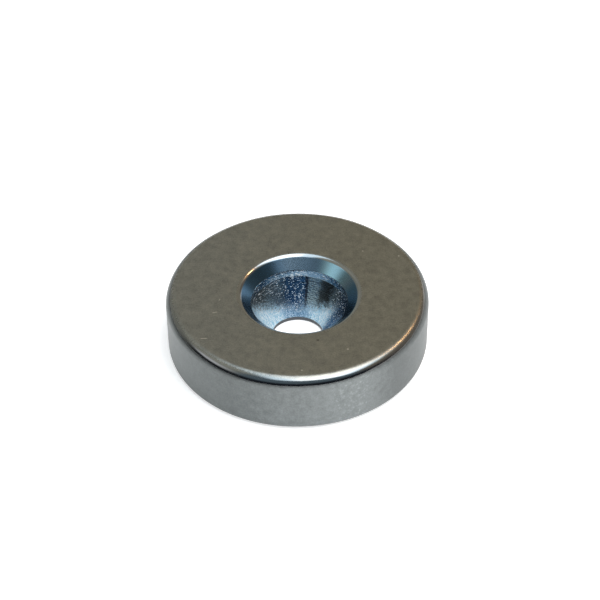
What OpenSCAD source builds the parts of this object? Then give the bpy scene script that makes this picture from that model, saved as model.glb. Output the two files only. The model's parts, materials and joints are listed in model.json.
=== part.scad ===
// Disc magnet with a countersunk screw hole.
// One sintered blank, ground flat, bored and countersunk, tumbled round at its edges and plated.
// The back face lies on z = 0, the front face is up, and the hole runs along the z axis.
// All sizes are in millimetres.

/* [Disc] */
// Diameter of the disc
disc_d = 25; // [20:0.5:40]
// Thickness from the back face to the front face
disc_h = 6; // [5.5:0.1:10]
// Radius of the tumbled edge round the front face
front_edge_r = 1; // [0.2:0.05:2]
// Radius of the tumbled edge round the back face
back_edge_r = 0.6; // [0.2:0.05:2]

/* [Screw hole] */
// Diameter of the straight bore that the screw passes through
bore_d = 5; // [4.3:0.1:7]
// Height of the bore above the back face, up to the lead cone
bore_h = 0.5; // [0.3:0.05:1.2]
// Radius of the tumbled edge where the bore meets the back face
bore_edge_r = 0.15; // [0.05:0.05:0.25]

/* [Lead cone] */
// Full angle of the steep cone that leads from the bore up to the straight wall
lead_angle = 60; // [60, 75, 82, 90]
// Diameter of the short straight wall between the lead cone and the countersink
wall_d = 9.2; // [8:0.1:10.4]

/* [Countersink] */
// Full angle of the countersink that the screw head beds in
sink_angle = 90; // [82, 90, 100, 120]
// Diameter of the countersink at the front face, before its edge is rounded
sink_d = 11.4; // [10.6:0.1:12.8]
// Radius of the rolled edge where the countersink opens into the front face
mouth_edge_r = 0.75; // [0.2:0.05:1.2]

/* [Hidden] */
// Facets of a full circle
$fn = 144;
// How far a cut runs past the face that it opens
past = 1;
// Level of the lead cone's wide end, from its two diameters and its angle
lead_top = bore_h + (wall_d - bore_d) / 2 / tan(lead_angle / 2);
// Slope of the countersink above level, and the level where its cone would meet the axis
sink_slope = 90 - sink_angle / 2;
sink_tip = disc_h - sink_d / 2 * tan(sink_slope);
// Distance of the rolled edge's centre from the axis
mouth_centre = sink_d / 2 + mouth_edge_r * tan(sink_slope / 2);

// What a round of radius r takes off an edge whose faces turn by an angle, 90 for a square edge.
// The round's centre is the origin, one face is level above it, and the other lies to its left.
module edge_waste(r, turn = 90) {
    reach = r + past;
    difference() {
        polygon([
            [0, 0],
            [0, reach],
            [-reach * tan(turn / 2), reach],
            [-reach * sin(turn), reach * cos(turn)]
        ]);
        circle(r);
    }
}

// Waste round the disc's outer edges, in the half plane right of the axis.
module outer_edges() {
    translate([disc_d / 2 - front_edge_r, disc_h - front_edge_r])
        mirror([1, 0])
            edge_waste(front_edge_r);
    translate([disc_d / 2 - back_edge_r, back_edge_r])
        mirror([1, 0])
            mirror([0, 1])
                edge_waste(back_edge_r);
}

// Waste round the two mouths of the hole.
module hole_mouths() {
    translate([mouth_centre, disc_h - mouth_edge_r])
        edge_waste(mouth_edge_r, sink_slope);
    translate([bore_d / 2 + bore_edge_r, bore_edge_r])
        mirror([0, 1])
            edge_waste(bore_edge_r);
}

// Half section of the stepped tool: bore, lead cone and straight wall, one above the other.
module bore_tool() {
    polygon([
        [0, -past],
        [bore_d / 2, -past],
        [bore_d / 2, bore_h],
        [wall_d / 2, lead_top],
        [wall_d / 2, disc_h + past],
        [0, disc_h + past]
    ]);
}

// Half section of the countersink tool: a cone with its tip on the axis.
module sink_tool() {
    polygon([
        [0, sink_tip],
        [sink_d / 2 + past / tan(sink_slope), disc_h + past],
        [0, disc_h + past]
    ]);
}

// The magnet: its half section turned once round the axis.
module magnet_disc() {
    color("#8e9290")
        rotate_extrude()
            difference() {
                square([disc_d / 2, disc_h]);
                bore_tool();
                sink_tool();
                hole_mouths();
                outer_edges();
            }
}

magnet_disc();
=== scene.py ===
# %% [markdown]
# # A disc magnet with a countersunk screw hole
#
# This lesson dresses one small, very plain object: a plated disc magnet, 25 mm across and 6 mm
# thick, with a hole for a flat-head screw. A plain object is a hard one to make look real, because
# nothing distracts from the metal. Its look rests on three things: round edges that catch a lamp,
# a finish that differs from place to place, and a room worth mirroring. Each gets its own steps.
#
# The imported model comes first. It is the fixed frame: everything made here is in its metres and
# its axes.

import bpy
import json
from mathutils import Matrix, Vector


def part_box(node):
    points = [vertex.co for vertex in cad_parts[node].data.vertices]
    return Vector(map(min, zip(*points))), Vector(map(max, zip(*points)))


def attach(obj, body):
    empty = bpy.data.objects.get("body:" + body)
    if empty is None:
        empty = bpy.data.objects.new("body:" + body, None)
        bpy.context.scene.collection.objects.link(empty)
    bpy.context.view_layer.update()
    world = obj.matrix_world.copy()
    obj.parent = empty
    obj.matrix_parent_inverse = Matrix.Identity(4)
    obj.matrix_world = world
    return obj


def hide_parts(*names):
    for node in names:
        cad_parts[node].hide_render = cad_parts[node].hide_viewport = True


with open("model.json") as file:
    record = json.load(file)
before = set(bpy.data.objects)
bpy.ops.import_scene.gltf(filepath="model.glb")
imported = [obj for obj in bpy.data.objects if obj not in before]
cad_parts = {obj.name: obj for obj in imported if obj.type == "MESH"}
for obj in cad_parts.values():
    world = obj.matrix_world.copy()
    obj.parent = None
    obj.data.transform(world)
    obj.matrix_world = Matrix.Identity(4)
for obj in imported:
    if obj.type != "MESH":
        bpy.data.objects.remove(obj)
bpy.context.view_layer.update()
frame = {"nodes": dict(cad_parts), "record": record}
print("frame nodes:", sorted(frame["nodes"]))

# %% [markdown]
# ## Sizes
#
# The real magnet is one sintered blank: ground flat, drilled, countersunk, tumbled with stones
# until its edges are round, then plated. The large sizes come from the frame, and the small radii
# of the tumbled edges are named here. All are in millimetres, as a maker would say them.

# %% Sizes in millimetres
import math

MM = 0.001

node_low, node_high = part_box("magnet_disc")
mounts = {mount["name"]: mount for mount in frame["record"]["mounts"]}
recess = mounts["head_recess"]

disc_r = (node_high.x - node_low.x) / 2 / MM
disc_h = (node_high.z - node_low.z) / MM
bore_r = mounts["screw_bore"]["dims"]["r_mm"]
wall_r = recess["dims"]["r_mm"]
wall_mid = recess["pos_m"][2] / MM
wall_foot = wall_mid - recess["dims"]["length_mm"] / 2
wall_head = wall_mid + recess["dims"]["length_mm"] / 2

front_edge_r = 1.0
back_edge_r = 0.6
bore_edge_r = 0.15
rim_r = disc_r - front_edge_r

bore_top = 0.5
lead_slope = math.degrees(math.atan2(wall_foot - bore_top, wall_r - bore_r))
sink_slope = 45
mouth_edge_r = 0.75
sink_r = wall_r + (disc_h - wall_head) / math.tan(math.radians(sink_slope))
mouth_r = sink_r + mouth_edge_r * math.tan(math.radians(sink_slope / 2))
print(f"disc {2 * disc_r:.2f} x {disc_h:.2f} mm, bore {2 * bore_r:.2f} mm, countersink {2 * sink_r:.2f} mm")

# %% [markdown]
# ## The half section
#
# A turned part is best modelled the way it is turned: draw half of its section once and spin it.
# A cylinder with a bevel and a boolean hole would give the same outline, but its points would be
# crowded at the cuts, and on shiny metal every uneven quad shows as a dent. With a drawn section
# we choose where each ring of points lies.
#
# A few helpers draw it. Each leaves its last point out, so that the pieces can be chained.

# %% Runs and arcs of the section
import numpy as np


def heading(degrees):
    """A step of one millimetre along the section, at an angle above level."""
    return np.array([math.cos(math.radians(degrees)), math.sin(math.radians(degrees))])


def run(start, end, steps):
    """Points of a straight run, without its end."""
    share = np.arange(steps)[:, None] / steps
    return np.array(start) + share * (np.array(end) - np.array(start))


def arc(centre, radius, from_deg, to_deg, steps):
    """Points of a round edge, without its end."""
    angle = np.radians(from_deg + (to_deg - from_deg) * np.arange(steps) / steps)
    return np.array(centre) + radius * np.stack([np.cos(angle), np.sin(angle)], axis=1)


def tight_run(start, end, steps, margin=0.03):
    """A run with one more ring close to each end, so that smooth shading stays flat in between."""
    start, end = np.array(start), np.array(end)
    inset = (end - start) / np.linalg.norm(end - start) * margin
    return np.concatenate([[start], run(start + inset, end - inset, steps), [end - inset]])


# %% [markdown]
# ## Turning marks in the lead cone
#
# Under the plating the steep cone still shows the tool that cut it: rings a fifth of a millimetre
# apart, and a flank that is a few hundredths hollow, as a worn tool leaves it. The rings are only a
# thousandth or two deep, yet they break every mirror image in the cone into bright and dark threads.
# A bump texture could fake them, but then the mesh would stay smooth for anyone who uses it, so
# they are real rings of points. The flank is a cubic curve between its two end slopes, and the
# ripple is a plain sine that fades out at both ends.

# %% Section of the cone
ring_pitch = 0.2
ring_depth = 0.0016
points_per_ring = 6
flank_bow = 3


def turned_cone(start, end):
    """The cone's flank from the bore to its wide end, a little hollow, with the tool's rings."""
    length = np.linalg.norm(end - start)
    steps = int(length / ring_pitch * points_per_ring)
    share = np.arange(steps)[:, None] / steps
    rest = 1 - share
    flank = (
        start * (1 + 2 * share) * rest**2
        + length * heading(lead_slope - flank_bow) * share * rest**2
        + end * (1 + 2 * rest) * share**2
        - length * heading(lead_slope + flank_bow) * rest * share**2
    )
    fade = np.clip(12 * np.minimum(share, rest), 0, 1)
    ripple = ring_depth * fade * np.sin(2 * math.pi * share * length / ring_pitch)
    return flank + ripple * heading(lead_slope + 90)


# %% [markdown]
# ## Chaining the section
#
# The chain starts at the back mouth of the bore and climbs the hole, crosses the front face, goes
# down the side and comes home along the back face. The sharp lines inside the hole get a tiny
# round of their own: no plated edge is a knife edge, and that round catches thin bright lines in
# the recess. The one at the top of the wall is also painted on as a highlight.

# %% The whole section
inner_break = 0.05

bore_rim = np.array([bore_r, bore_top])
cone_rim = np.array([wall_r, wall_foot])
wall_rim = np.array([wall_r, wall_head])
upright = heading(90)
cone_start = heading(lead_slope - flank_bow)
cone_end = heading(lead_slope + flank_bow)
sink = heading(sink_slope)
mouth_centre = np.array([mouth_r, disc_h - mouth_edge_r])
sink_end = mouth_centre + mouth_edge_r * heading(90 + sink_slope)


def broken_edge(corner, lean_in, lean_out, steps=4):
    """A small round over a corner: a curve from just before it to just after it."""
    before = corner - inner_break * lean_in
    after = corner + inner_break * lean_out
    share = np.arange(steps)[:, None] / steps
    return (1 - share) ** 2 * before + 2 * share * (1 - share) * corner + share**2 * after


section = np.concatenate([
    arc((bore_r + bore_edge_r, bore_edge_r), bore_edge_r, 270, 180, 6),
    run((bore_r, bore_edge_r), bore_rim - inner_break * upright, 3),
    broken_edge(bore_rim, upright, cone_start),
    turned_cone(bore_rim + inner_break * cone_start, cone_rim - inner_break * cone_end),
    broken_edge(cone_rim, cone_end, upright),
    run(cone_rim + inner_break * upright, wall_rim - inner_break * upright, 5),
    broken_edge(wall_rim, upright, sink),
    tight_run(wall_rim + inner_break * sink, sink_end, 6),
    arc(mouth_centre, mouth_edge_r, 90 + sink_slope, 90, 18),
    tight_run((mouth_r, disc_h), (rim_r, disc_h), 12),
    arc((rim_r, disc_h - front_edge_r), front_edge_r, 90, 0, 18),
    tight_run((disc_r, disc_h - front_edge_r), (disc_r, back_edge_r), 10),
    arc((disc_r - back_edge_r, back_edge_r), back_edge_r, 0, -90, 12),
    tight_run((disc_r - back_edge_r, 0), (bore_r + bore_edge_r, 0), 12),
])
print("points in the section:", len(section))

# %% [markdown]
# ## Spinning the section
#
# Two small faults keep the spun ring from looking like a drawing. The recess was cut a third of a
# millimetre off the bore, so its points drift sideways: all the way above the cone, less and
# less down the cone, and back to nothing across the face. And tumbling never rounds an edge
# evenly, so a few slow waves, hundredths of a millimetre high, are pushed into the front edge. The
# waves are sines with fixed phases, so every run gives the same magnet.

# %% Drift of the recess and waves of the edge
recess_drift = np.array([0.20, -0.26])
edge_wave = 0.018
edge_waves = [(2, 0.4), (3, 1.9), (5, 4.1), (9, 0.8)]


def drift_share(points):
    """How much of the recess's drift each point of the section takes."""
    up_cone = np.clip((points[:, 1] - bore_top) / (wall_foot - bore_top), 0, 1)
    to_rim = np.clip((rim_r - points[:, 0]) / (rim_r - mouth_r), 0, 1)
    return np.minimum(up_cone, to_rim)


def front_edge_share(points):
    """How far each point is out on the front edge: 1 in its middle and 0 at its ends and elsewhere."""
    offset = points - np.array([rim_r, disc_h - front_edge_r])
    on_edge = np.all(offset > 0, axis=1)
    lean = 2 * offset[:, 0] * offset[:, 1] / front_edge_r**2
    return np.where(on_edge, lean**2, 0)


# %% Spin the section into a mesh
import bpy

spokes = 360


def spin(name, points):
    """A closed ring of quads: the section copied on each spoke and joined to its neighbours."""
    turn = np.arange(spokes)[:, None] / spokes * 2 * math.pi
    wave = sum(np.sin(count * turn + phase) for count, phase in edge_waves) / len(edge_waves)
    wear = edge_wave * (1 + wave) * front_edge_share(points)
    drift = drift_share(points)
    radius = points[:, 0] - wear
    height = points[:, 1] - wear
    verts = np.stack([
        radius * np.cos(turn) + recess_drift[0] * drift,
        radius * np.sin(turn) + recess_drift[1] * drift,
        height,
    ], axis=2)
    index = np.arange(spokes * len(points)).reshape(spokes, len(points))
    beside = np.roll(index, -1, axis=0)
    quads = np.stack([index, np.roll(index, -1, axis=1), np.roll(beside, -1, axis=1), beside], axis=2)
    mesh = bpy.data.meshes.new(name)
    mesh.from_pydata((verts.reshape(-1, 3) * MM).tolist(), [], quads.reshape(-1, 4).tolist())
    mesh.shade_smooth()
    mesh.validate()
    piece = bpy.data.objects.new(name, mesh)
    bpy.context.scene.collection.objects.link(piece)
    return piece


magnet = spin("plated_magnet", section)
print("magnet:", len(magnet.data.vertices), "points,", 2 * len(magnet.data.polygons), "triangles")

# %% [markdown]
# ## Writing shader maths
#
# Node trees read better as sums than as lists of links. The small class below wraps one output
# socket. Adding or multiplying two of them adds a Math node, and any other node comes from its one
# method, which takes the node's type, the settings to make first, and what goes into its sockets.

# %% A wire that does sums


class Wire:
    """One output socket of a node tree. Sums of wires add Math nodes."""

    def __init__(self, tree, socket=None):
        self.tree = tree
        self.socket = socket

    def node(self, kind, settings=None, inputs=None, output=0):
        """Adds a node, makes its settings, fills its sockets and gives back one of its outputs."""
        made = self.tree.nodes.new(kind)
        for name, value in (settings or {}).items():
            setattr(made, name, value)
        for name, value in (inputs or {}).items():
            if isinstance(value, Wire):
                self.tree.links.new(value.socket, made.inputs[name])
            else:
                made.inputs[name].default_value = value
        return Wire(self.tree, made.outputs[output] if made.outputs else None)

    def sibling(self, output):
        """Another output of the same node."""
        return Wire(self.tree, self.socket.node.outputs[output])

    def maths(self, operation, *values):
        return self.node("ShaderNodeMath", {"operation": operation}, dict(enumerate(values)))

    def __add__(self, other):
        return self.maths("ADD", self, other)

    def __radd__(self, other):
        return self.maths("ADD", other, self)

    def __sub__(self, other):
        return self.maths("SUBTRACT", self, other)

    def __rsub__(self, other):
        return self.maths("SUBTRACT", other, self)

    def __mul__(self, other):
        return self.maths("MULTIPLY", self, other)

    def __rmul__(self, other):
        return self.maths("MULTIPLY", other, self)

    def __truediv__(self, other):
        return self.maths("DIVIDE", self, other)

    def __rtruediv__(self, other):
        return self.maths("DIVIDE", other, self)

    def __neg__(self):
        return self.maths("MULTIPLY", self, -1)

    def __abs__(self):
        return self.maths("ABSOLUTE", self)

    def rise(self, low, high):
        """0 below low, 1 above high, and a smooth step between them."""
        return self.node(
            "ShaderNodeMapRange",
            {"interpolation_type": "SMOOTHSTEP"},
            {"Value": self, "From Min": low, "From Max": high},
        )

    def between(self, start, full, fading, gone):
        """0 before start, 1 from full to fading, and 0 again once gone."""
        return self.rise(start, full) * (1 - self.rise(fading, gone))

    def vector(self, operation, other, output=0):
        """A Vector Math node on this vector and another one."""
        return self.node("ShaderNodeVectorMath", {"operation": operation}, {0: self, 1: other}, output)

    def scaled(self, by):
        """A vector made longer."""
        return self.node("ShaderNodeVectorMath", {"operation": "SCALE"}, {"Vector": self, "Scale": by})

    def length(self):
        """How long a vector is."""
        return self.node("ShaderNodeVectorMath", {"operation": "LENGTH"}, {0: self}, output="Value")

    def over(self, under, top):
        """The colour under, changing to top where this mask is 1."""
        return self.node("ShaderNodeMix", {"data_type": "RGBA"}, {0: self, 6: under, 7: top}, output=2)


# %% [markdown]
# ## Where the finish changes
#
# The plating is the same all over, but it doesn't look the same. The ground faces are an even
# satin. The side is finely mottled. The tumbled edges are polished. Down in the recess, where no
# stone reaches, the blue cast of the passivated plating is still there. Each zone is a mask, worked
# out in millimetres from the distance to the axis, the height above the back face and the bearing.
# The recess has an axis of its own, because of its drift.

# %% Where a point lies
plating = bpy.data.materials.new("bright_plating")
plating.use_nodes = True
tree = plating.node_tree
tree.nodes.clear()

place = Wire(tree).node("ShaderNodeTexCoord", output="Object").scaled(1 / MM)
east = place.node("ShaderNodeSeparateXYZ", inputs={"Vector": place})
north = east.sibling("Y")
height = east.sibling("Z")
plan = place.vector("MULTIPLY", (1, 1, 0))
recess_plan = plan.vector("SUBTRACT", (*recess_drift, 0))
reach = plan.length()
recess_reach = recess_plan.length()

# Bearings in degrees: on the disc from the front to the right, in the recess from the right to the back.
round_disc = east.maths("ARCTAN2", east, -north) * (180 / math.pi)
round_recess = north.maths("ARCTAN2", north - recess_drift[1], east - recess_drift[0]) * (180 / math.pi)

# %% Zones of the recess
soft_line = 0.04

on_back = (1 - height.rise(0.02, 0.05)) * reach.rise(bore_r + 0.05, bore_r + 0.15)
in_recess = (1 - on_back) * (1 - recess_reach.rise(sink_end[0] - 0.02, sink_end[0] + 0.10))
above_cone = height.rise(wall_foot - soft_line, wall_foot + soft_line)
above_wall = height.rise(wall_head - soft_line, wall_head + soft_line)
on_cone = in_recess * (1 - above_cone)
on_wall = in_recess * above_cone * (1 - above_wall)
on_sink = in_recess * above_wall
in_bore = in_recess * (1 - height.rise(bore_top - 0.06, bore_top + 0.02))

# %% Zones of the faces and the side
# The side's mottle climbs half a millimetre further in over the edge at the back than at the front.
back_climb = 0.5 * abs(round_disc).rise(10, 130)

on_top = recess_reach.rise(mouth_r - 0.25, mouth_r) * (1 - reach.rise(rim_r + 0.2, rim_r + 0.7))
on_face = on_top.maths("MAXIMUM", on_top, on_back)
on_side = (reach + back_climb).rise(disc_r - 0.14, disc_r - 0.05)
dull = on_face + on_side
print("zones:", len(tree.nodes), "nodes")

# %% [markdown]
# ## Colour of the plating
#
# A metal's Base Color is the colour of its mirror image, so a plated steel grey is enough. The
# zones then lean it: from cool to warm across the faces, paler at the right of the front on the side,
# where light is painted on, and blue in the recess. Noises of three sizes, from broad clouds to a fine
# grain, are mixed in, so that no border is straight and no colour is flat.
#
# A mask that fades in and out is given as four numbers: where it starts, is full, fades and is gone.

# %% Colour
satin_cool = (0.405, 0.405, 0.385, 1)
satin_warm = (0.40, 0.385, 0.335, 1)
side_grey = (0.150, 0.162, 0.161, 1)
side_lit_pale = (0.230, 0.247, 0.247, 1)
edge_grey = (0.48, 0.49, 0.49, 1)
passivated_blue = (0.37, 0.50, 0.61, 1)
lit_side_bearings = (-36, 24, 30, 48)


def noise(spot, scale, detail):
    """A noise round 0, with spots of about 1 / scale."""
    return spot.node("ShaderNodeTexNoise", inputs={"Vector": spot, "Scale": scale, "Detail": detail}) - 0.5


broad = noise(place, 0.35, 3.0)
cloud = noise(place, 1.6, 4.0)
grain = noise(place, 7.0, 3.0)

warmth = (east + 14 * cloud).rise(-14, 8)
colour = on_face.over(edge_grey, warmth.over(satin_cool, satin_warm))
# The side is painted paler at the front right, as painted light.
painted_side_light = (round_disc + 30 * cloud).between(*lit_side_bearings)
colour = on_side.over(colour, painted_side_light.over(side_grey, side_lit_pale))
colour = in_recess.over(colour, passivated_blue)

# %% [markdown]
# ## A painted sheen on the side
#
# On the side, right of the front, a small patch is painted paler as a sheen. It is a noise held to a
# few degrees of bearing, so that its edge is ragged.

# %% Painted sheen
sheen_grey = (0.40, 0.435, 0.43, 1)
sheen_bearings = (10, 19, 28, 36)
sheen_strength = 0.4

side_sheen = on_side * round_disc.between(*sheen_bearings) * noise(place, 3.0, 3.0).rise(0.0, 0.22)
colour = (sheen_strength * side_sheen).over(colour, sheen_grey)

# %% [markdown]
# ## The countersink
#
# A passivated film shows a colour that goes with its thickness. How much of the blue in the countersink
# is film and how much is a mirror image can't be told apart, so both are laid on as colour: a clear sky
# blue at the back right as a painted reflection, grey blue at the back, and navy round the rest as painted
# shade.

# %% Colours of the countersink
sink_shade_navy = (0.09, 0.19, 0.30, 1)
sink_reflection_sky = (0.48, 0.85, 1.0, 1)
reflection_bearings = (22, 40, 52, 74)

# The navy is painted shade and the sky blue a painted reflection, laid over the film's own blue.
colour = (on_sink * round_recess.rise(96, 128)).over(colour, sink_shade_navy)
colour = (on_sink * (1 - round_recess.rise(10, 34))).over(colour, sink_shade_navy)
colour = (on_sink * round_recess.between(*reflection_bearings)).over(colour, sink_reflection_sky)

# %% [markdown]
# ## The lead cone
#
# In a small steep cone light bounces several times, and a clean mirror there turns out dark and empty.
# The real one is bright and broken, so its light is painted into the colour of the plating. Below a
# slanting line the cone is painted pale as a reflection of bounced light, and above it lie painted
# reflections: grey, brown, and blue with a dark streak. Dashes along the tool's rings break the line up,
# and the brightest are painted glints.
# Their noise is read on a drum of one radius, so that it closes round the cone without a seam.

# %% Dashes along the rings
drum_r = (bore_r + wall_r) / 2


def dashes(wide, tall):
    """A noise round 0 on the drum: spots this wide along the rings and this tall, in millimetres."""
    ring = recess_plan.node("ShaderNodeVectorMath", {"operation": "NORMALIZE"}, {0: recess_plan})
    lift = place.vector("MULTIPLY", (0, 0, 1 / tall))
    return noise(ring.scaled(drum_r / wide).vector("ADD", lift), 1.0, 2.0)


streaks = dashes(0.09, 0.6)
flecks = dashes(0.15, 0.08)
rings = dashes(0.32, 0.06)
blots = noise(place, 2.2, 2.0)
bearing = round_recess + 14 * blots

# %% Painted light, painted reflections and painted glints
light_edge_slant = 0.8
cone_shade_bearings = (-124, -96, 2, 36)
back_dots = (78, 84, 118, 130)
right_dots = (-20, 5, 32, 42)
left_rings = (112, 125, 160, 172)

# Above a slanting edge the cone is painted with reflections: grey, brown, and blue with a dark streak.
light_edge = height + light_edge_slant * north + 0.7 * streaks + 1.2 * blots + 2.0 * flecks
upper_cone_reflections = on_cone * light_edge.rise(2.9, 4.8)
# Navy painted as shade round the sides of the cone.
cone_shade = on_cone * bearing.between(*cone_shade_bearings)
lit_lower_cone = (on_cone - upper_cone_reflections) * (1 - cone_shade)
# Painted glints: white dots and rings on the cone and its wall.
dotted = round_recess.between(*back_dots) + round_recess.between(*right_dots)
ringed = on_wall + round_recess.between(*left_rings) * height.rise(2.2, 3.6)
painted_glints = dotted * flecks.rise(0.10, 0.16) + ringed * rings.rise(0.10, 0.18)
painted_glints = (on_wall + on_cone) * painted_glints.maths("MINIMUM", painted_glints, 1)

# %% Colours of the painted light low in the cone
cone_light_white = (0.92, 0.98, 1.0, 1)
cone_light_cyan = (0.30, 0.58, 0.74, 1)
cone_light_blue = (0.42, 0.60, 0.74, 1)
cone_light_deep = (0.10, 0.22, 0.36, 1)
left_lobe = (108, 130, 168, 188)
right_lobe = (12, 26, 60, 78)

# The bright lobes are painted reflections of light bounced about in the cone.
lobes = abs(bearing).between(*left_lobe) + bearing.between(*right_lobe)
cone_light_mottle = (flecks + 0.7 * streaks + 0.5 * rings).rise(-0.18, 0.16)
painted_cone_light = lobes.over(cone_light_mottle.over(cone_light_deep, cone_light_blue), cone_light_mottle.over(cone_light_cyan, cone_light_white))

# %% Painted reflections and painted shade laid on the cone
wall_shade_blue = (0.10, 0.17, 0.24, 1)
cone_grey = (0.30, 0.35, 0.36, 1)
cone_shade_navy = (0.08, 0.16, 0.28, 1)
painted_blue_reflection = (0.07, 0.15, 0.24, 1)
painted_brown_reflection = (0.04, 0.037, 0.032, 1)
painted_dark_streak = (0.03, 0.04, 0.06, 1)
blue_bearings = (78, 83, 104, 118)
brown_bearings = (36, 47, 57, 66)
dark_streak_bearings = (77, 79, 81, 83)

# The wall of the recess is painted dark blue as shade.
colour = on_wall.over(colour, wall_shade_blue)
colour = lit_lower_cone.over(colour, painted_cone_light)
# Painted reflections of the room in the upper cone.
colour = upper_cone_reflections.over(colour, cone_grey)
colour = (upper_cone_reflections * bearing.between(*blue_bearings)).over(colour, painted_blue_reflection)
colour = (0.9 * upper_cone_reflections * bearing.between(*brown_bearings)).over(colour, painted_brown_reflection)
colour = (upper_cone_reflections * round_recess.between(*dark_streak_bearings)).over(colour, painted_dark_streak)
# The painted navy shade goes on last.
colour = cone_shade.over(colour, cone_shade_navy)

# %% Painted glints, a painted highlight at the top of the wall, and painted shade in the bore
glint_white = (0.92, 0.97, 1.0, 1)
bore_shade_grey = (0.11, 0.115, 0.12, 1)

colour = painted_glints.over(colour, glint_white)
# A painted highlight: a broken bright line at the top of the wall.
top_highlight = height.between(wall_head - 0.05, wall_head - 0.02, wall_head + 0.02, wall_head + 0.05)
colour = (in_recess * top_highlight * rings.rise(-0.1, 0.1)).over(colour, glint_white)
# The bore is painted dark grey as shade.
colour = in_bore.over(colour, bore_shade_grey)

# %% Unevenness of all the colours
cloudy = 0.35 * (dull + on_face)
grainy = 0.08 + 0.55 * dull + 0.15 * on_face

colour = colour.scaled(1 + 0.12 * broad + cloudy * cloud + grainy * grain)
print("colour:", len(tree.nodes), "nodes so far")

# %% [markdown]
# ## Nicks
#
# A magnet snaps against steel and other magnets, so its face is seldom clean: a few short
# scratches where the plating is bared, bright specks, and a dimple. Each is one small mask, turned
# and placed in millimetres on the front face.

# %% Mask of a nick
soft_end = (0.35, 0.6)
soft_flank = (0.25, 0.7)


def nick(x, y, length, width, lean=0):
    """A mask of a scratch on the front face: its middle, length, width and lean in degrees."""
    along, across = heading(lean)
    right = east - x
    back = north - y
    down_length = abs(right * along + back * across)
    down_width = abs(back * along - right * across)
    inside = 1 - down_length.rise(soft_end[0] * length, soft_end[1] * length)
    return inside * (1 - down_width.rise(soft_flank[0] * width, soft_flank[1] * width))


# %% Scratches and specks
bright_nick = (0.80, 0.77, 0.70, 1)
dark_nick = (0.12, 0.12, 0.11, 1)
scratches = [(-8.66, -6.52, 0.60, 0.12, 0), (-7.74, -2.92, 0.50, 0.10, 15), (-7.35, -1.15, 0.22, 0.10, 60)]
specks = [(0.34, -10.93, 0.16), (4.57, -8.20, 0.18), (6.41, 5.81, 0.15), (9.88, 5.00, 0.17)]
dimple = (1.84, -6.94, 0.26)

at_front = on_top * height.rise(disc_h - 0.2, disc_h - 0.1)
bared = sum(nick(*scratch) for scratch in scratches) + sum(nick(x, y, d, d) for x, y, d in specks)
pitted = nick(dimple[0], dimple[1], dimple[2], dimple[2])
colour = (at_front * bared).over(colour, bright_nick)
colour = (0.6 * at_front * pitted).over(colour, dark_nick)
print("nicks:", len(scratches) + len(specks) + 1)

# %% [markdown]
# ## Gloss of the plating
#
# Roughness says how far the mirror image is smeared. The edges that the stones have polished are the
# sharpest, the recess comes next, and the ground faces, the painted light low in the cone and the side are
# satin.

# %% Gloss
edge_gloss = 0.13
face_gloss = 0.30
side_gloss = 0.42
sink_gloss = 0.22
cone_gloss = 0.18
lit_cone_gloss = 0.33
bore_gloss = 0.45
grain_gloss = 0.10

gloss = edge_gloss + (face_gloss - edge_gloss) * on_face + (side_gloss - edge_gloss) * on_side
gloss = gloss + (sink_gloss - edge_gloss) * in_recess + (cone_gloss - sink_gloss) * (on_cone + on_wall)
gloss = gloss + (lit_cone_gloss - cone_gloss) * lit_lower_cone + (bore_gloss - cone_gloss) * in_bore
gloss = gloss + grain_gloss * grain

# %% [markdown]
# ## Grain
#
# What is finer than the mesh goes into a Bump node, whose height is in millimetres here. The side
# has a fine mottle, the faces a finer one, and the cone and its wall have the chatter of the tool:
# tiny dents, each of which bends the mirror image its own way.
#
# Where light is painted on the cone, the metal gives way partly to a matt film, so that the painted light
# shows from every side.

# %% Grain as bump
dent_depth = 0.03
side_mottle = 0.008
face_mottle = 0.003

dents = dent_depth * (on_cone + on_wall) * noise(place, 4.5, 1.0)
mottle = (side_mottle * on_side + face_mottle * on_face) * grain
relief = place.node("ShaderNodeBump", inputs={"Strength": 1.0, "Distance": MM, "Height": dents + mottle})

# %% The finished metal
lit_cone_matt = 0.8
upper_reflection_matt = 0.1
glint_matt = 0.6

# The painted light, reflections and glints of the cone are partly matt, so that they show from every side.
metal = place.node("ShaderNodeBsdfPrincipled", inputs={
    "Base Color": colour,
    "Metallic": 1 - lit_cone_matt * lit_lower_cone - upper_reflection_matt * upper_cone_reflections - glint_matt * painted_glints,
    "Roughness": gloss,
    "Normal": relief,
})
metal.node("ShaderNodeOutputMaterial", inputs={"Surface": metal})
magnet.data.materials.append(plating)
print("plating:", len(tree.nodes), "nodes")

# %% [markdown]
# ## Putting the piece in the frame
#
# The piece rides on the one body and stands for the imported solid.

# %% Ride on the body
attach(magnet, "root")
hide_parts("magnet_disc")
print("rides on the root:", magnet.name)

# %% [markdown]
# ## Floor
#
# A plain white floor, wide enough to fill every view. It is matt, so that it only carries the
# soft shadow. A little glow, for the camera and for mirror images only, lifts it to paper white
# without lighting the magnet.

# %% Floor
floor_half = 0.9

floor_mesh = bpy.data.meshes.new("studio_floor")
corners = [(x * floor_half, y * floor_half, 0) for x, y in ((-1, -1), (1, -1), (1, 1), (-1, 1))]
floor_mesh.from_pydata(corners, [], [(0, 1, 2, 3)])
floor = bpy.data.objects.new("studio_floor", floor_mesh)
bpy.context.scene.collection.objects.link(floor)

# %% Paint of the floor
floor_white = (0.80, 0.80, 0.80, 1)
floor_lift = 0.6

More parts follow.
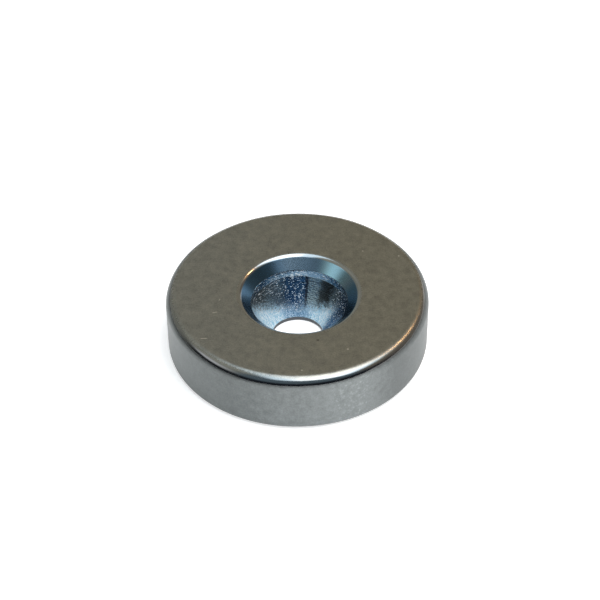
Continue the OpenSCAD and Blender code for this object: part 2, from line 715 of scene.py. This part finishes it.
floor_paint = bpy.data.materials.new("white_floor")
floor_paint.use_nodes = True
floor_paint.node_tree.nodes.clear()
ray = Wire(floor_paint.node_tree).node("ShaderNodeLightPath", output="Is Camera Ray")
seen = ray + ray.sibling("Is Glossy Ray") + ray.sibling("Is Transmission Ray")
paper = ray.node("ShaderNodeBsdfPrincipled", inputs={
    "Base Color": floor_white,
    "Roughness": 0.9,
    "Specular IOR Level": 0.1,
    "Emission Color": seen.over((0, 0, 0, 1), (1, 1, 1, 1)),
    "Emission Strength": floor_lift,
})
paper.node("ShaderNodeOutputMaterial", inputs={"Surface": paper})
floor_mesh.materials.append(floor_paint)
print("floor:", 2 * floor_half, "m wide")

# %% [markdown]
# ## The room
#
# Metal shows the room more than itself, so the room is a world that changes with direction: warm
# grey behind the magnet, a cool dim wall on the near side, a pale window on the left and a white
# sweep low on the right. Low on the near side the room is nearly black. That band is what draws the
# thin dark line under the white one on the front edge, which shows how round the edge is.

# %% Directions in the room
world = bpy.data.worlds.new("studio_room")
bpy.context.scene.world = world
world.use_nodes = True
room = world.node_tree
room.nodes.clear()

toward = Wire(room).node("ShaderNodeTexCoord", output="Generated")
right = toward.node("ShaderNodeSeparateXYZ", inputs={"Vector": toward})
back = right.sibling("Y")
up = right.sibling("Z")

# Degrees round from the near side, positive to the right, and degrees above level.
azimuth = right.maths("ARCTAN2", right, -back) * (180 / math.pi)
elevation = up.maths("ARCSINE", up) * (180 / math.pi)

# %% Walls of the room
left_wall = (0.24, 0.245, 0.215, 1)
right_wall = (0.17, 0.15, 0.125, 1)
back_left = (0.298, 0.294, 0.253, 1)
back_right = (0.268, 0.246, 0.192, 1)
high_wall = (0.36, 0.36, 0.31, 1)
near_wall = (0.11, 0.148, 0.176, 1)

walls = azimuth.rise(-40, 40).over(left_wall, right_wall)
walls = (elevation + 0.2 * abs(azimuth)).rise(60, 70).over(walls, high_wall)
walls = abs(azimuth).rise(136, 148).over(walls, right.rise(-0.3, 0.3).over(back_left, back_right))
walls = (1 - abs(azimuth).rise(45, 65)).over(walls, near_wall)

# %% Dark band, window and sweep
near_dark = (0.012, 0.015, 0.02, 1)
dark_height = (-4, 4, 26, 38)
dark_width = (-125, -85, 60, 110)
window = (0.64, 0.65, 0.67, 1)
window_height = (28, 34, 40, 48)
window_width = (-106, -90, -80, -48)
below_level = (0.15, 0.15, 0.15, 1)
right_sweep = (1.0, 0.97, 0.96, 1)
sweep_width = (52, 62, 140, 150)

walls = (elevation.between(*dark_height) * azimuth.between(*dark_width)).over(walls, near_dark)
walls = (elevation.between(*window_height) * azimuth.between(*window_width)).over(walls, window)
walls = up.rise(0.0, 0.06).over(below_level, walls)
walls = (azimuth.between(*sweep_width) * (1 - elevation.rise(9, 16))).over(walls, right_sweep)
print("walls:", len(room.nodes), "nodes")

# %% [markdown]
# ## Lights in the room
#
# One large softbox hangs overhead, a little forward and to the right: it draws the white line
# along the front edge, and a paler, bluish spill lies round it. Both are patches of the world,
# cut out on a level ceiling one unit up, so that they have soft edges. A small warm lamp far behind
# on the right leaves the orange glints on the rim, with a dim glow on the wall about it. Its
# brightness is set as the radiance of its face, so that the power follows from its size.

# %% Softbox and spill
softbox = (2.9, 2.95, 3.0, 1)
spill = (1.3, 1.6, 1.85, 1)
lamp_glow = (0.9, 0.50, 0.27, 1)
lamp_way = (0.538, 0.378, 0.752)

spill_right = (-0.40, -0.24, 0.60, 0.80)
spill_near = (-0.50, -0.25, 0.45, 0.70)
box_right = (-0.10, 0.02, 0.36, 0.66)
box_near = (-0.45, -0.20, 0.42, 0.66)
glow_edge = math.cos(math.radians(14))
glow_core = math.cos(math.radians(4))

ceiling = up.maths("MAXIMUM", up, 0.05)
ceiling_right = right / ceiling
ceiling_near = -back / ceiling
overhead = up.rise(0.1, 0.2)
in_spill = ceiling_right.between(*spill_right) * ceiling_near.between(*spill_near)
in_box = ceiling_right.between(*box_right) * ceiling_near.between(*box_near)
by_lamp = toward.vector("DOT_PRODUCT", lamp_way, output="Value").rise(glow_edge, glow_core)

light = by_lamp.over(walls, lamp_glow)
light = (overhead * in_spill).over(light, spill)
light = (overhead * in_box).over(light, softbox)
shine = toward.node("ShaderNodeBackground", inputs={"Color": light, "Strength": 1.0})
shine.node("ShaderNodeOutputWorld", inputs={"Surface": shine})
print("room:", len(room.nodes), "nodes")

# %% Warm lamp
from mathutils import Matrix, Vector

focus = Vector((0, 0, disc_h * MM))
lamp_distance = 0.6
lamp_size = 0.065
lamp_radiance = 12.0
lamp_orange = (1.0, 0.6, 0.27)

warm = bpy.data.lights.new("warm_lamp", "AREA")
warm.shape = "SQUARE"
warm.size = lamp_size
warm.energy = lamp_radiance * math.pi * lamp_size**2
warm.color = lamp_orange
lamp = bpy.data.objects.new("warm_lamp", warm)
lamp.location = focus + lamp_distance * Vector(lamp_way).normalized()
lamp.rotation_euler = Vector(lamp_way).to_track_quat("Z", "Y").to_euler()
lamp.visible_camera = False
bpy.context.scene.collection.objects.link(lamp)
print(f"warm lamp: {warm.energy:.2f} W")

# %% [markdown]
# ## Fill
#
# The softbox is kept low enough that a satin face under it doesn't turn white. What the floor and the
# painted light low in the cone lose by that comes from a fill lamp beside it, which matt surfaces see and
# mirror images don't.

# %% Fill lamp
fill_way = Vector((0.28, -0.15, 1.0)).normalized()
fill_irradiance = 1.4
fill_size = 0.3

fill = bpy.data.lights.new("fill_lamp", "AREA")
fill.shape = "SQUARE"
fill.size = fill_size
fill.energy = fill_irradiance * math.pi * lamp_distance**2
fill_lamp = bpy.data.objects.new("fill_lamp", fill)
fill_lamp.location = focus + lamp_distance * fill_way
fill_lamp.rotation_euler = fill_way.to_track_quat("Z", "Y").to_euler()
fill_lamp.visible_camera = False
fill_lamp.visible_glossy = False
bpy.context.scene.collection.objects.link(fill_lamp)
print(f"fill lamp: {fill.energy:.2f} W")

# %% [markdown]
# ## Camera
#
# The camera looks down at 41 degrees from a hand's length away, through a long lens. A small shift
# puts the magnet where it stands in the picture.

# %% Camera
camera_elevation = math.radians(40.95)
camera_distance = 0.1715
camera_roll = math.radians(-0.68)

lens = bpy.data.cameras.new("camera")
lens.lens = 108.45
lens.shift_x = 0.0047
lens.shift_y = -0.0151
lens.clip_start = 0.01
lens.clip_end = 10
camera = bpy.data.objects.new("camera", lens)
bpy.context.scene.collection.objects.link(camera)
sight = Vector((0, -math.cos(camera_elevation), math.sin(camera_elevation)))
camera.location = focus + camera_distance * sight
level_view = sight.to_track_quat("Z", "Y").to_matrix().to_4x4()
camera.rotation_euler = (level_view @ Matrix.Rotation(camera_roll, 4, "Z")).to_euler()
bpy.context.scene.camera = camera
bpy.context.scene.view_settings.view_transform = "Standard"
print("camera:", [round(part, 4) for part in camera.location])

# %% [markdown]
# ## Sizes before and after
#
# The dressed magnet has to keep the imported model's size, so both boxes are written down side by side.

# %% Write the boxes and finish
import json
